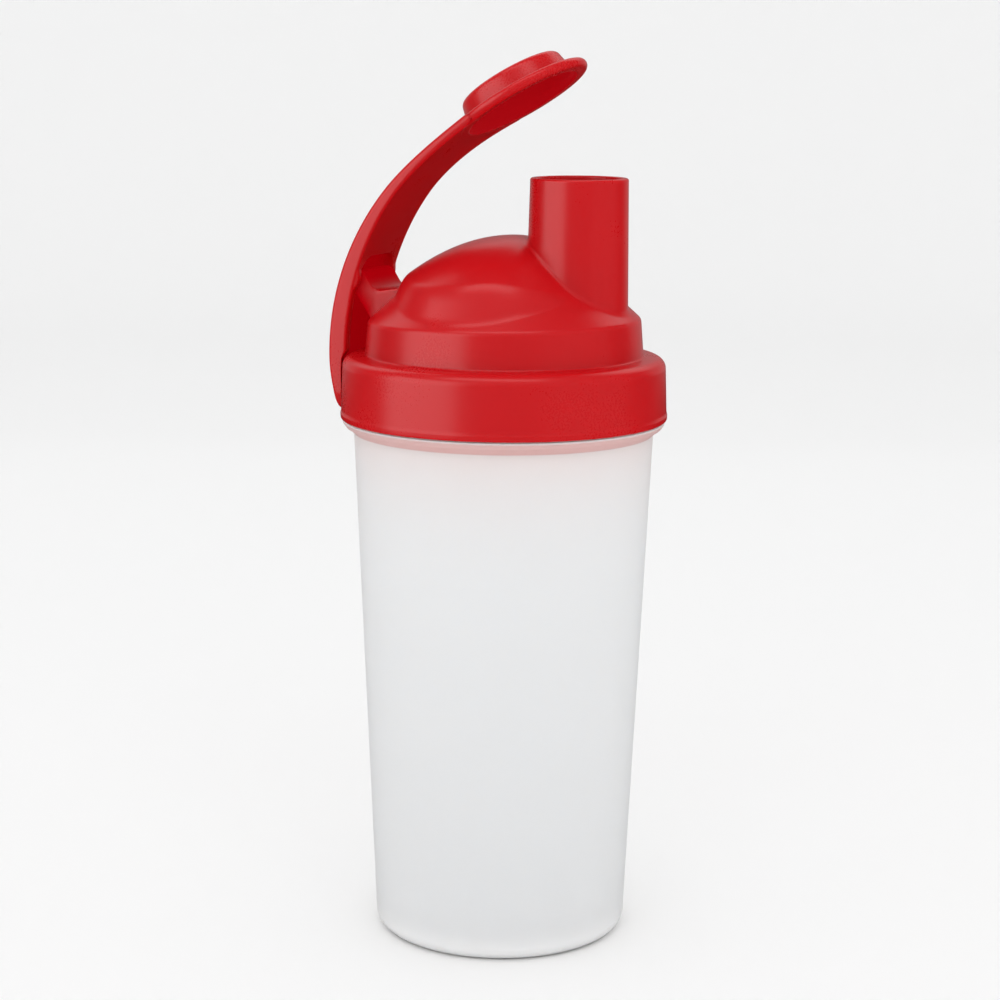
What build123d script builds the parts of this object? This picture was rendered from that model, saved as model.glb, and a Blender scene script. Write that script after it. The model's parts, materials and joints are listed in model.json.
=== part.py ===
from build123d import *

import math
import os

# Protein shaker bottle: a frosted mixing cup, a screw-on lid with a drinking spout, and a flip cap on
# an arched arm that snaps onto a lug behind the lid's dome. Inside the lid are a sealing ring and a
# strainer, and in the flip cap a sealing disc.
#
# Units are millimetres and +Z is up. The origin is the centre of the cup's foot, on the surface it
# stands on. The spout lies towards +X and the hinge towards -X. The flip cap is modelled wide open,
# with the tail of its arm resting beside the lid's collar.

# Driving dimensions of the cup.
FOOT_R = 38.1
BODY_TOP_R = 44.9
BODY_TOP_Z = 151.5
CUP_WALL = 1.6
HEEL_FILLET = 4.5
FOOT_RING_R = 27.0
FOOT_RECESS = 2.6
FLOOR_T = 2.0
RING_LOW_R = 47.2
RING_R = 48.2
RING_LOW_Z = 154.6
RING_STEP_Z = 156.1
RING_TOP_Z = 157.6
NECK_R = 43.4
RIM_Z = 172.4

# Screw thread between the cup's neck and the lid's collar.
THREAD_PITCH = 6.0
THREAD_TURNS = 1.2
THREAD_DEPTH = 1.5
THREAD_ROOT_HALF = 1.3
THREAD_CREST_HALF = 0.6
THREAD_BITE = 0.3
CUP_THREAD_Z = 162.6
LID_THREAD_DROP = 2.0

# Driving dimensions of the lid.
COLLAR_Z = 158.1
COLLAR_R = 49.1
COLLAR_TOP_R = 48.4
COLLAR_TOP_Z = 176.6
COLLAR_INSIDE_R = 45.4
COLLAR_CEILING_Z = 174.7
TIER_BASE_R = 41.6
TIER_BASE_Z = 177.2
TIER_TOP_R = 40.7
TIER_TOP_Z = 187.6
TIER_INSIDE_R = 39.0
CROWN_R = 27.0
CROWN_Z = 200.0
LID_WALL = 1.9
DOME_DROP = 2.3
CROWN_T = 3.0

# The dome is a stack of ellipses: height, left end, right end and half width.
DOME_RINGS = (
    (188.0, -33.8, 39.4, 38.2),
    (193.0, -32.4, 35.6, 36.0),
    (197.0, -31.0, 31.4, 33.2),
    (200.5, -28.4, 27.8, 29.8),
    (204.0, -23.8, 23.8, 25.2),
    (207.4, -16.8, 19.4, 19.0),
    (210.3, -8.8, 14.4, 11.6),
    (212.0, -2.8, 7.4, 4.6),
)

# Spout.
SPOUT_X = 23.2
SPOUT_R = 14.4
SPOUT_BORE_R = 12.6
SPOUT_TOP_Z = 230.0
SPOUT_LIP = 0.7

# Hinge between the lid's lug and the flip cap's arm. The pivot line is parallel to Y.
HINGE_X = -44.0
HINGE_Z = 199.0
SWING = 26.0
CLOSED_TILT = 5.5
TRUNNION_R = 1.4
TRUNNION_FIT = 0.05
TRUNNION_REACH = 2.0
KNUCKLE_R = 2.2
LUG_HALF = 10.4

# The lug's side outline, from its root inside the tier out to the knuckle: x and height.
LUG_OUTLINE = (
    (-30.0, 192.2),
    (-30.0, 196.4),
    (-38.0, 196.4),
    (-42.8, 200.8),
    (-45.2, 197.2),
    (-41.2, 190.0),
    (-39.2, 186.5),
    (-36.0, 187.5),
)

# Arm and flip cap.
ARM_HALF = 14.0
SOCKET_SPACE = 0.6
FLANGE_R = 21.9
FLANGE_T = 3.0
FLARE_RUN = 9.0
FLARE_TURN = 52.0
CAP_CUP_BASE_R = 17.2
CAP_CUP_TOP_R = 15.9
CAP_CUP_H = 8.8
CAP_CUP_FILLET = 1.8
CAP_DEPTH = 5.9
HOLLOW_MOUTH_R = 18.0
HOLLOW_NECK_R = 16.2
HOLLOW_NECK_Z = 2.8
HOLLOW_TOP_R = 14.6
HOLLOW_FLARE = 3.0
HOLLOW_RUN_OUT = 6.0
ARM_SKIN = 1.3
RECESS_TOP_Z = 205.4
RECESS_LOW_Z = 171.0
RECESS_CORNER = 5.0
TAIL_CLEARANCE = 0.3
RECESS_REACH_X = -20.0
TAIL_TIP = (-49.2, 158.8)
TAIL_INNER = (-46.6, 159.8)
CHEEK_WALL = 1.1

# Insert pieces.
SEAL_T = 0.7
SEAL_GAP = 0.1
GASKET_OUTER_R = 44.6
GASKET_INNER_R = 41.2
STRAINER_R = 38.5
STRAINER_Z = 177.0
STRAINER_T = 1.6
STRAINER_SKIRT_H = 5.0
STRAINER_SKIRT_T = 1.3
SIEVE_HOLE_R = 1.9
SIEVE_RING_STEP = 6.2
SIEVE_RINGS = 5
SNAP_BEAD = 0.35
SNAP_BEAD_RISE = 0.3
SNAP_BEAD_PITCH = 0.8

os.makedirs("parts", exist_ok=True)


def opened(x, z):
    """Return where a point of the closed flip cap stands when the cap is swung wide open."""
    turn = math.radians(SWING)
    dx = x - HINGE_X
    dz = z - HINGE_Z
    return (
        HINGE_X + dx * math.cos(turn) - dz * math.sin(turn),
        HINGE_Z + dx * math.sin(turn) + dz * math.cos(turn),
    )


def tilted_plane(x, z, degrees):
    """Return a plane at (x, 0, z) whose x axis rises from +X by the given angle, with Y kept."""
    turn = math.radians(degrees)
    return Plane(
        origin=(x, 0, z),
        x_dir=(math.cos(turn), 0, math.sin(turn)),
        z_dir=(-math.sin(turn), 0, math.cos(turn)),
    )


def ridge_plane(path):
    """Return the plane across the start of a thread path, with its x axis pointing outwards."""
    return Plane(origin=path @ 0, x_dir=(1, 0, 0), z_dir=path % 0)


# The flange of the open cap, and the spout's own axis carried along with the cap when it opens.
FLANGE_X, FLANGE_Z = opened(SPOUT_X, SPOUT_TOP_Z - CAP_DEPTH)
FLANGE_PLANE = tilted_plane(FLANGE_X, FLANGE_Z, SWING + CLOSED_TILT)
SEAT_X, SEAT_Z = opened(SPOUT_X, SPOUT_TOP_Z)
SEAT_PLANE = tilted_plane(SEAT_X, SEAT_Z, SWING)

THREAD_HEIGHT = THREAD_PITCH * THREAD_TURNS

# Cup: tapered wall, recessed foot, drip ring under the lid and a threaded neck, turned about Z.
wall_slope = (BODY_TOP_R - FOOT_R) / BODY_TOP_Z
inner_floor_z = FOOT_RECESS + FLOOR_T
inner_floor_r = FOOT_R + wall_slope * inner_floor_z - CUP_WALL
with BuildPart() as cup:
    with BuildSketch(Plane.XZ):
        with BuildLine():
            FilletPolyline(
                (0, FOOT_RECESS),
                (FOOT_RING_R, FOOT_RECESS),
                (FOOT_RING_R + 2.0, 0),
                (FOOT_R, 0),
                (BODY_TOP_R, BODY_TOP_Z),
                (RING_LOW_R, RING_LOW_Z),
                (RING_LOW_R, RING_STEP_Z),
                (RING_R, RING_STEP_Z),
                (RING_R, RING_TOP_Z),
                (NECK_R, RING_TOP_Z),
                (NECK_R, RIM_Z),
                (NECK_R - CUP_WALL, RIM_Z),
                (NECK_R - CUP_WALL, RING_LOW_Z),
                (inner_floor_r, inner_floor_z),
                (0, inner_floor_z),
                radius=[0.8, 0.8, HEEL_FILLET, 6.0, 0.4, 0.3, 0.3, 0.3, 0.6, 0.5, 0.5, 4.0, 3.5],
            )
            Line((0, inner_floor_z), (0, FOOT_RECESS))
        make_face()
    revolve(axis=Axis.Z)
    with BuildLine() as cup_helix:
        Helix(THREAD_PITCH, THREAD_HEIGHT, NECK_R, center=(0, 0, CUP_THREAD_Z))
    with BuildSketch(ridge_plane(cup_helix.line)):
        Polygon(
            (-THREAD_BITE, -THREAD_ROOT_HALF),
            (THREAD_DEPTH, -THREAD_CREST_HALF),
            (THREAD_DEPTH, THREAD_CREST_HALF),
            (-THREAD_BITE, THREAD_ROOT_HALF),
            align=None,
        )
    sweep(path=cup_helix.line, is_frenet=True)
cup.part.label = "cup"
export_step(cup.part, "parts/cup.step")

# Lid: collar, stepped tier, dome, spout and hinge lug in one moulding, hollow from below.
with BuildPart() as lid:
    with BuildSketch(Plane.XZ):
        with BuildLine():
            FilletPolyline(
                (0, COLLAR_Z),
                (COLLAR_R, COLLAR_Z),
                (COLLAR_TOP_R, COLLAR_TOP_Z),
                (TIER_BASE_R, TIER_BASE_Z),
                (TIER_TOP_R, TIER_TOP_Z),
                (CROWN_R, CROWN_Z),
                (0, CROWN_Z),
                radius=[0.6, 3.4, 0.6, 2.8, 1.0],
            )
            Line((0, CROWN_Z), (0, COLLAR_Z))
        make_face()
    revolve(axis=Axis.Z)
    for height, left, right, half_width in DOME_RINGS:
        with BuildSketch(Plane.XY.offset(height)):
            with Locations(((left + right) / 2, 0)):
                Ellipse((right - left) / 2, half_width)
    loft()
    with BuildSketch(Plane.XY.offset(TIER_TOP_Z)):
        with Locations((SPOUT_X, 0)):
            Circle(SPOUT_R)
    extrude(amount=SPOUT_TOP_Z - TIER_TOP_Z)
    fillet(lid.edges().group_by(Axis.Z)[-1], SPOUT_LIP)
    # Hollow: collar and tier turned about Z, the dome's own inside, and the spout's bore.
    with BuildSketch(Plane.XZ):
        with BuildLine():
            Polyline(
                (0, COLLAR_Z),
                (COLLAR_INSIDE_R, COLLAR_Z),
                (COLLAR_INSIDE_R, COLLAR_CEILING_Z),
                (TIER_INSIDE_R, COLLAR_CEILING_Z),
                (TIER_INSIDE_R, TIER_TOP_Z - LID_WALL),
                (CROWN_R - LID_WALL, CROWN_Z - CROWN_T),
                (0, CROWN_Z - CROWN_T),
                close=True,
            )
        make_face()
    revolve(axis=Axis.Z, mode=Mode.SUBTRACT)
    for height, left, right, half_width in DOME_RINGS:
        with BuildSketch(Plane.XY.offset(height - DOME_DROP)):
            with Locations(((left + right) / 2, 0)):
                Ellipse((right - left) / 2 - LID_WALL, half_width - LID_WALL)
    loft(mode=Mode.SUBTRACT)
    with BuildSketch(Plane.XY.offset(TIER_TOP_Z)):
        with Locations((SPOUT_X, 0)):
            Circle(SPOUT_BORE_R)
    extrude(amount=SPOUT_TOP_Z - TIER_TOP_Z + 1.0, mode=Mode.SUBTRACT)
    # Lug that reaches back into the arm, with its knuckle and two trunnions.
    with BuildSketch(Plane.XZ):
        with BuildLine():
            Polyline(*LUG_OUTLINE, close=True)
        make_face()
        with Locations((HINGE_X, HINGE_Z)):
            Circle(KNUCKLE_R)
    extrude(amount=LUG_HALF, both=True)
    with BuildSketch(Plane.XZ):
        with Locations((HINGE_X, HINGE_Z)):
            Circle(TRUNNION_R)
    extrude(amount=LUG_HALF + TRUNNION_REACH, both=True)
    # Snap bead that holds the strainer up, and the lid's half of the thread.
    with BuildSketch(Plane.XZ):
        Polygon(
            (TIER_INSIDE_R + THREAD_BITE, COLLAR_CEILING_Z + SNAP_BEAD_RISE),
            (TIER_INSIDE_R - SNAP_BEAD, COLLAR_CEILING_Z + SNAP_BEAD_RISE + SNAP_BEAD_PITCH),
            (TIER_INSIDE_R + THREAD_BITE, COLLAR_CEILING_Z + SNAP_BEAD_RISE + 2 * SNAP_BEAD_PITCH),
            align=None,
        )
    revolve(axis=Axis.Z)
    with BuildLine() as lid_helix:
        Helix(
            THREAD_PITCH,
            THREAD_HEIGHT,
            COLLAR_INSIDE_R,
            center=(0, 0, CUP_THREAD_Z - LID_THREAD_DROP),
        )
    with BuildSketch(ridge_plane(lid_helix.line)):
        Polygon(
            (THREAD_BITE, -THREAD_ROOT_HALF),
            (THREAD_BITE, THREAD_ROOT_HALF),
            (-THREAD_DEPTH, THREAD_CREST_HALF),
            (-THREAD_DEPTH, -THREAD_CREST_HALF),
            align=None,
        )
    sweep(path=lid_helix.line, is_frenet=True)
lid.part.label = "lid"
export_step(lid.part, "parts/lid.step")

# Flip cap: a side outline of arm and flange, narrowed to its plan shape, with a shallow cup on top.
arm_outer = (
    (-51.5, 167.0),
    (-51.9, 178.0),
    (-49.7, 195.9),
    (-44.2, 210.7),
    (-36.2, 223.5),
    (-25.0, 235.3),
)
arm_inner = (
    (-22.6, 232.0),
    (-33.3, 219.6),
    (-40.2, 207.4),
    (-44.2, 195.2),
    (-45.8, 181.0),
    (-45.9, 171.0),
)
flare_in = FLANGE_R * math.sin(math.radians(90 - FLARE_TURN))
flare_half = FLANGE_R * math.cos(math.radians(90 - FLARE_TURN))
flange_far_low = FLANGE_PLANE.from_local_coords((FLANGE_R, 0, 0))
flange_far_top = FLANGE_PLANE.from_local_coords((FLANGE_R, 0, FLANGE_T))
flange_near_low = FLANGE_PLANE.from_local_coords((-FLANGE_R, 0, 0))
flange_near_top = FLANGE_PLANE.from_local_coords((-FLANGE_R, 0, FLANGE_T))
floor_line = [(x + ARM_SKIN, z) for x, z in arm_outer[:4]]
with BuildPart() as flip_cap:
    with BuildSketch(Plane.XZ) as side:
        with BuildLine():
            Spline(
                TAIL_TIP,
                *arm_outer,
                (flange_near_top.X, flange_near_top.Z),
                tangents=[(-1, 0.35), (math.cos(math.radians(SWING + CLOSED_TILT)), 0.52)],
            )
            Line((flange_near_top.X, flange_near_top.Z), (flange_far_top.X, flange_far_top.Z))
            Line((flange_far_top.X, flange_far_top.Z), (flange_far_low.X, flange_far_low.Z))
            Line((flange_far_low.X, flange_far_low.Z), (flange_near_low.X, flange_near_low.Z))
            Spline(
                (flange_near_low.X, flange_near_low.Z),
                *arm_inner,
                TAIL_INNER,
                tangents=[(-math.cos(math.radians(SWING + CLOSED_TILT)), -0.52), (0, -1)],
            )
            Line(TAIL_INNER, TAIL_TIP)
        make_face()
    extrude(amount=FLANGE_R, both=True)
    # Plan shape: the flange's circle, the arm's straight strip, and a flare that joins the two.
    with BuildSketch(FLANGE_PLANE):
        Circle(FLANGE_R)
        with Locations((-60.0, 0)):
            Rectangle(120.0, 2 * ARM_HALF)
        Polygon(
            (-flare_in, flare_half),
            (-flare_in, -flare_half),
            (-FLANGE_R - FLARE_RUN, -ARM_HALF),
            (-FLANGE_R - FLARE_RUN, ARM_HALF),
            align=None,
        )
    extrude(amount=120.0, both=True, mode=Mode.INTERSECT)
    # Shallow cup standing on the flange, with a rounded top edge.
    with BuildSketch(Plane(origin=FLANGE_PLANE.origin, x_dir=FLANGE_PLANE.x_dir, z_dir=(0, -1, 0))):
        with BuildLine():
            FilletPolyline(
                (0, FLANGE_T - 1.0),
                (CAP_CUP_BASE_R, FLANGE_T - 1.0),
                (CAP_CUP_TOP_R, CAP_CUP_H),
                (0, CAP_CUP_H),
                radius=[0.1, CAP_CUP_FILLET],
            )
            Line((0, CAP_CUP_H), (0, FLANGE_T - 1.0))
        make_face()
    revolve(axis=Axis(FLANGE_PLANE.origin, FLANGE_PLANE.z_dir))
    # Tapered hollow around the spout's axis, wide at its mouth so that the cap swings on and off.
    with BuildSketch(Plane(origin=SEAT_PLANE.origin, x_dir=SEAT_PLANE.x_dir, z_dir=(0, -1, 0))):
        Polygon(
            (0, SEAL_T + SEAL_GAP),
            (HOLLOW_TOP_R, SEAL_T + SEAL_GAP),
            (HOLLOW_NECK_R, HOLLOW_NECK_Z - CAP_DEPTH),
            (HOLLOW_MOUTH_R, -CAP_DEPTH),
            (HOLLOW_MOUTH_R + HOLLOW_FLARE, -CAP_DEPTH - HOLLOW_RUN_OUT),
            (0, -CAP_DEPTH - HOLLOW_RUN_OUT),
            align=None,
        )
    revolve(axis=Axis(SEAT_PLANE.origin, SEAT_PLANE.z_dir), mode=Mode.SUBTRACT)
    # Room for the lid's collar behind the tail.
    with BuildSketch(Plane.XY.offset(COLLAR_Z - 5.0)):
        Circle(COLLAR_R + TAIL_CLEARANCE)
    extrude(amount=COLLAR_TOP_Z - COLLAR_Z + 6.0, mode=Mode.SUBTRACT)
    # Cheeks that thicken the arm around the trunnion sockets.
    with BuildSketch(Plane.XZ.offset(-ARM_HALF)):
        with Locations((HINGE_X, HINGE_Z)):
            Circle(TRUNNION_R + CHEEK_WALL)
    extrude(amount=2 * ARM_HALF)
with BuildPart() as recess:
    with BuildSketch(Plane.XZ):
        with BuildLine():
            floor_curve = Spline(*floor_line)
            Polyline(
                floor_curve @ 1,
                (RECESS_REACH_X, floor_line[-1][1]),
                (RECESS_REACH_X, floor_line[0][1]),
                floor_curve @ 0,
            )
        make_face()
    extrude(amount=LUG_HALF + SOCKET_SPACE, both=True)
    with BuildSketch(Plane.YZ):
        with Locations((0, (RECESS_TOP_Z + RECESS_LOW_Z) / 2)):
            RectangleRounded(
                2 * (LUG_HALF + SOCKET_SPACE),
                RECESS_TOP_Z - RECESS_LOW_Z,
                RECESS_CORNER,
            )
    extrude(amount=100.0, both=True, mode=Mode.INTERSECT)
with BuildPart() as sockets:
    with BuildSketch(Plane.XZ):
        with Locations((HINGE_X, HINGE_Z)):
            Circle(TRUNNION_R + TRUNNION_FIT)
    extrude(amount=LUG_HALF + TRUNNION_REACH + 0.3, both=True)
with flip_cap:
    add(recess.part, mode=Mode.SUBTRACT)
    add(sockets.part, mode=Mode.SUBTRACT)
flip_cap.part.label = "flip_cap"
export_step(flip_cap.part, "parts/flip_cap.step")

# Silicone disc in the flip cap's hollow, which presses on the spout's lip when the cap is shut.
with BuildPart() as spout_seal:
    with BuildSketch(SEAT_PLANE.offset(SEAL_GAP)):
        Circle(HOLLOW_TOP_R)
    extrude(amount=SEAL_T)
spout_seal.part.label = "spout_seal"
export_step(spout_seal.part, "parts/spout_seal.step")

# Silicone ring between the cup's rim and the lid.
with BuildPart() as lid_gasket:
    with BuildSketch(Plane.XY.offset(RIM_Z)):
        Circle(GASKET_OUTER_R)
        Circle(GASKET_INNER_R, mode=Mode.SUBTRACT)
    extrude(amount=COLLAR_CEILING_Z - RIM_Z)
lid_gasket.part.label = "lid_gasket"
export_step(lid_gasket.part, "parts/lid_gasket.step")

# Strainer: a pierced disc with a skirt, clipped up inside the lid's tier.
with BuildPart() as strainer:
    with BuildSketch(Plane.XY.offset(STRAINER_Z)):
        Circle(STRAINER_R)
        Circle(SIEVE_HOLE_R, mode=Mode.SUBTRACT)
        for ring in range(1, SIEVE_RINGS + 1):
            with PolarLocations(ring * SIEVE_RING_STEP, 6 * ring):
                Circle(SIEVE_HOLE_R, mode=Mode.SUBTRACT)
    extrude(amount=STRAINER_T)
    with BuildSketch(Plane.XY.offset(STRAINER_Z)):
        Circle(STRAINER_R)
        Circle(STRAINER_R - STRAINER_SKIRT_T, mode=Mode.SUBTRACT)
    extrude(amount=STRAINER_SKIRT_H)
strainer.part.label = "strainer"
export_step(strainer.part, "parts/strainer.step")
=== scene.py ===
import json
import logging
import math
from dataclasses import dataclass
from enum import Enum
from typing import Any, Callable, Sequence

import bmesh
import bpy
import numpy as np
from mathutils import Matrix, Vector


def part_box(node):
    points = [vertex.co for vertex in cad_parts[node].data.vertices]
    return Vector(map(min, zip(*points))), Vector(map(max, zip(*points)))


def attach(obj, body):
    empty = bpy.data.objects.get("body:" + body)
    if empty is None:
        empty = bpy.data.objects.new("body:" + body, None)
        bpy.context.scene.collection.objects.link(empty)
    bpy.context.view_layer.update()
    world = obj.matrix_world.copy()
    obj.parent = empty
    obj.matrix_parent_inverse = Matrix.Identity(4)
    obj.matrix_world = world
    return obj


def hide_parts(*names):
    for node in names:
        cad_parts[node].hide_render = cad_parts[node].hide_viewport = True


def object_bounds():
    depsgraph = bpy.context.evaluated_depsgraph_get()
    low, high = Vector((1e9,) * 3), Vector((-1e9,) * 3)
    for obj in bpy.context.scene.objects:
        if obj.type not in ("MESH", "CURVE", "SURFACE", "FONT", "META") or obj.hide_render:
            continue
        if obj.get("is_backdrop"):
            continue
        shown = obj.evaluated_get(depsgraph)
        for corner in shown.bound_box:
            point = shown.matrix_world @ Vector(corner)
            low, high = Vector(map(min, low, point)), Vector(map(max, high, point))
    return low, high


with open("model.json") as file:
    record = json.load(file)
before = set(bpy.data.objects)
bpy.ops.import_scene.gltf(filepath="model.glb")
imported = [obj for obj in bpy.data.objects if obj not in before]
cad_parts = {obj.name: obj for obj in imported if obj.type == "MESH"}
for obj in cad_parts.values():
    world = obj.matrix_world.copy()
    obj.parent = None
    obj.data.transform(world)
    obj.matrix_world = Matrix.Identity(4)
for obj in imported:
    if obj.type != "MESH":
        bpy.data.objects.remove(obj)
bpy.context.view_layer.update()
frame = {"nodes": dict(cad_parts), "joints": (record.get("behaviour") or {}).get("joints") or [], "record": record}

LOG = logging.getLogger("shaker")
TURN = 2.0 * math.pi
Grid = np.ndarray


# ---------------------------------------------------------------- what the frame says


@dataclass(frozen=True)
class Axes:
    """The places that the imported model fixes: the spout's axis, the hinge and the heights of the cup and lid.

    Attributes:
        spout_x: Where the spout's upright axis crosses +X.
        spout_top: Height of the spout's lip.
        collar_low: Height of the lid's lower edge.
        rim: Height of the cup's rim.
        hinge: Pivot of the flip cap, a line along Y.
        swing: How far the flip cap turns from open to shut, in radians.
    """

    spout_x: float
    spout_top: float
    collar_low: float
    rim: float
    hinge: tuple[float, float]
    swing: float

    @classmethod
    def read(cls) -> "Axes":
        """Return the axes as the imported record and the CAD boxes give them."""
        openings = {o["name"]: o["box_m"] for o in frame["record"]["physics"]["openings"]}
        bore_low, bore_high = openings["spout_bore"]
        joint = next(j for j in frame["joints"] if j["name"] == "flip_cap_hinge")
        lid_low, lid_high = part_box("lid")
        return cls(
            spout_x=(bore_low[0] + bore_high[0]) / 2,
            spout_top=lid_high.z,
            collar_low=lid_low.z,
            rim=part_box("cup")[1].z,
            hinge=(joint["pos_m"][0], joint["pos_m"][2]),
            swing=math.radians(joint["range_deg"][1]),
        )

    def opened(self, x: float, z: float) -> tuple[float, float]:
        """Return where a point of the shut flip cap stands when the cap is open, turned about the hinge."""
        dx, dz = x - self.hinge[0], z - self.hinge[1]
        c, s = math.cos(self.swing), math.sin(self.swing)
        return self.hinge[0] + dx * c - dz * s, self.hinge[1] + dx * s + dz * c


# ---------------------------------------------------------------- mesh tools


def rounded_path(corners: Sequence[tuple[float, float, float]], gap: float = 0.004, steps: int = 8) -> Grid:
    """Return an outline whose corners are arcs and whose straights are cut into short spans.

    Each corner's arc is the circle of its radius that touches both of its sides. A straight gets a point
    close to each end, so that smooth shading stays flat along it.

    Args:
        corners: Points of the outline as (across, up, corner radius).
        gap: Longest span on a straight.
        steps: Spans in each arc.

    Returns:
        An array of (across, up) rows.
    """
    points = np.array(corners, float)
    arcs: list[Grid] = []
    for i, (x, z, radius) in enumerate(points):
        here = np.array([x, z])
        if radius == 0 or i in (0, len(points) - 1):
            arcs.append(here[None])
            continue
        back, ahead = points[i - 1, :2] - here, points[i + 1, :2] - here
        back, ahead = back / np.linalg.norm(back), ahead / np.linalg.norm(ahead)
        half = math.acos(float(np.clip(back @ ahead, -1, 1))) / 2
        middle = (back + ahead) / np.linalg.norm(back + ahead)
        centre = here + middle * radius / math.sin(half)
        first = here + back * radius / math.tan(half) - centre
        last = here + ahead * radius / math.tan(half) - centre
        sweep = math.pi - 2 * half
        t = np.linspace(0, 1, steps + 1)[:, None]
        arcs.append(centre + (np.sin((1 - t) * sweep) * first + np.sin(t * sweep) * last) / math.sin(sweep))
    path = [arcs[0]]
    for before, after in zip(arcs, arcs[1:]):
        start, end = before[-1], after[0]
        length = float(np.linalg.norm(end - start))
        guard = min(0.0003, length / 4)
        cuts = max(1, int(length / gap))
        at = np.linspace(guard, length - guard, cuts + 1)
        path.append(start + (end - start) * (at / max(length, 1e-9))[:, None])
        path.append(after)
    outline = np.concatenate(path)
    keep = np.concatenate([[True], np.linalg.norm(np.diff(outline, axis=0), axis=1) > 1e-7])
    return outline[keep]


def bezier(ends: Sequence[tuple[float, float]], t: Grid) -> Grid:
    """Return points of a cubic Bezier curve through four control points, at the parameters t."""
    p = np.array(ends, float)
    t = t[:, None]
    return (1 - t) ** 3 * p[0] + 3 * (1 - t) ** 2 * t * p[1] + 3 * (1 - t) * t**2 * p[2] + t**3 * p[3]


def ease(x: Grid | float, low: float, high: float) -> Grid:
    """Return a smooth step from 0 at low to 1 at high: 3t squared minus 2t cubed."""
    t = np.clip((np.asarray(x) - low) / (high - low), 0, 1)
    return t * t * (3 - 2 * t)


def soft_min(a: Grid, b: Grid, width: float) -> Grid:
    """Return the lower of two heights, rounded off where they are closer than width."""
    h = np.clip(0.5 + 0.5 * (b - a) / width, 0, 1)
    return b * (1 - h) + a * h - width * h * (1 - h)


def soft_max(a: Grid, b: Grid, width: float) -> Grid:
    """Return the higher of two heights, rounded off where they are closer than width."""
    return -soft_min(-a, -b, width)


def skin(name: str, grid: Grid, ring: bool, poles: tuple[bool, bool] = (False, False)) -> bpy.types.Object:
    """Make a smooth mesh object from a grid of points whose columns close into rings.

    Args:
        name: Name of the object.
        grid: Points as an array of rows, columns and x, y, z.
        ring: True if the last row joins the first.
        poles: Whether the first and the last row are single points.

    Returns:
        The object, linked to the scene, with its faces pointing outwards.
    """
    rows, cols = grid.shape[:2]
    index = np.arange(rows * cols).reshape(rows, cols)
    if poles[0]:
        index[0] = index[0, 0]
    if poles[1]:
        index[-1] = index[-1, 0]
    kept, index = np.unique(index, return_inverse=True)
    index = index.reshape(rows, cols)
    below = np.concatenate([index[1:], index[:1]]) if ring else index[1:]
    above = index if ring else index[:-1]
    quads = np.stack([above, np.roll(above, -1, 1), np.roll(below, -1, 1), below], -1).reshape(-1, 4)
    at_first = quads[:, 0] == quads[:, 1]
    at_last = quads[:, 2] == quads[:, 3]
    faces = quads[~(at_first | at_last)].tolist()
    faces += quads[at_first][:, [0, 2, 3]].tolist()
    faces += quads[at_last][:, [0, 1, 2]].tolist()
    mesh = bpy.data.meshes.new(name)
    mesh.from_pydata(grid.reshape(-1, 3)[kept].tolist(), [], faces)
    if signed_volume(mesh) < 0:
        mesh.flip_normals()
    mesh.polygons.foreach_set("use_smooth", np.ones(len(mesh.polygons), bool))
    piece = bpy.data.objects.new(name, mesh)
    bpy.context.scene.collection.objects.link(piece)
    return piece


def shade_sunk(piece: bpy.types.Object, share: Grid) -> None:
    """Store on a piece's vertices how far each lies inside a hollow, from 0 to 1, for its finish to paint darker
    shade and a faint glow there.

    Args:
        piece: A piece whose vertices are in the order of the grid that it was made from.
        share: One value for each vertex.
    """
    layer = piece.data.attributes.new("sunk", "FLOAT", "POINT")
    layer.data.foreach_set("value", np.ascontiguousarray(share, np.float32))


def merge(piece: bpy.types.Object) -> None:
    """Join the vertices of a piece that lie on one another."""
    shape = bmesh.new()
    shape.from_mesh(piece.data)
    bmesh.ops.remove_doubles(shape, verts=shape.verts, dist=2e-7)
    shape.to_mesh(piece.data)
    shape.free()


def signed_volume(mesh: bpy.types.Mesh) -> float:
    """Return the volume that a closed mesh holds, negative if its faces point inwards."""
    mesh.calc_loop_triangles()
    corners = np.empty(len(mesh.loop_triangles) * 3, np.int32)
    mesh.loop_triangles.foreach_get("vertices", corners)
    points = np.empty(len(mesh.vertices) * 3, np.float32)
    mesh.vertices.foreach_get("co", points)
    a, b, c = points.reshape(-1, 3)[corners.reshape(-1, 3)].transpose(1, 0, 2).astype(float)
    return float(np.einsum("ij,ij->i", a, np.cross(b, c)).sum() / 6)


@dataclass(frozen=True)
class Place:
    """A flat frame that a turned piece is built in: its origin, and the turn of its axis from +Z about Y.

    Attributes:
        x: Origin along X.
        z: Origin along Z.
        tilt: Angle in radians that the frame's across direction rises from +X.
    """

    x: float = 0.0
    z: float = 0.0
    tilt: float = 0.0

    def turned(self, outline: Grid, columns: int) -> Grid:
        """Return an outline of (radius, height) rows turned about the frame's axis.

        Args:
            outline: Rows of radius and height.
            columns: Points around each ring.

        Returns:
            Points as an array of rows, columns and x, y, z.
        """
        angle = np.arange(columns) * TURN / columns
        across = outline[:, :1] * np.cos(angle)
        y = outline[:, :1] * np.sin(angle)
        up = np.broadcast_to(outline[:, 1:2], across.shape)
        return self.placed(across, y, up)

    def placed(self, across: Grid, y: Grid, up: Grid) -> Grid:
        """Return frame coordinates as points in the object's frame."""
        c, s = math.cos(self.tilt), math.sin(self.tilt)
        return np.stack([self.x + across * c - up * s, y, self.z + across * s + up * c], -1)


# ---------------------------------------------------------------- shader tools


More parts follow.
